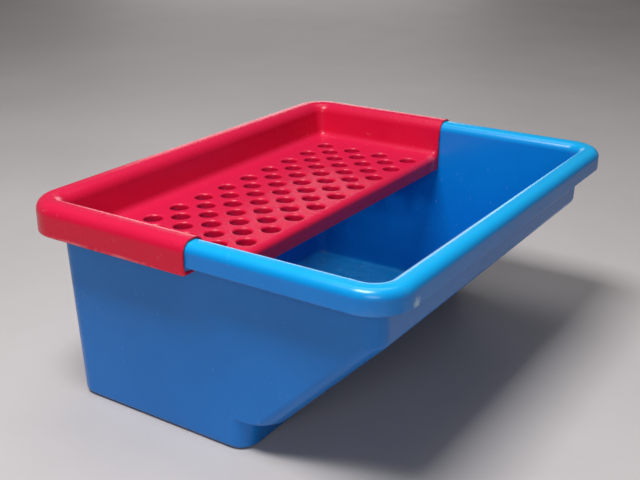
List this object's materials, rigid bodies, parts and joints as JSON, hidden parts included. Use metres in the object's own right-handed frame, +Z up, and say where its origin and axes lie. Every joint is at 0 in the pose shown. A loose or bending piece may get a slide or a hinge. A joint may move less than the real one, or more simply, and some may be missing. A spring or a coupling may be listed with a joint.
{
  "type": "flat mop soaking tub",
  "caption": "Rectangular plastic soaking tub with a sloped end and a lift-off perforated drip tray that caps the rim of its deep half.",
  "frame": {"origin": "on the floor, under the middle of the assembled object's bounding box", "axes": "+Z up, +Y along the long side of the rim, +X towards the end with the ramp"},
  "size_m": [0.4024, 0.5046, 0.2093],
  "materials": {
    "tub_plastic": "satin moulded polypropylene",
    "tray_plastic": "glossy moulded polypropylene"
  },
  "bodies": {
    "tub": {"tub": "tub_plastic"},
    "drip_tray": {"drip_tray": "tray_plastic"}
  },
  "joints": [
    {"name": "tray_lift", "type": "slide", "parent": "tub", "child": "drip_tray", "axis": [0, 0, 1], "range_m": [0, 0.07]}
  ]
}
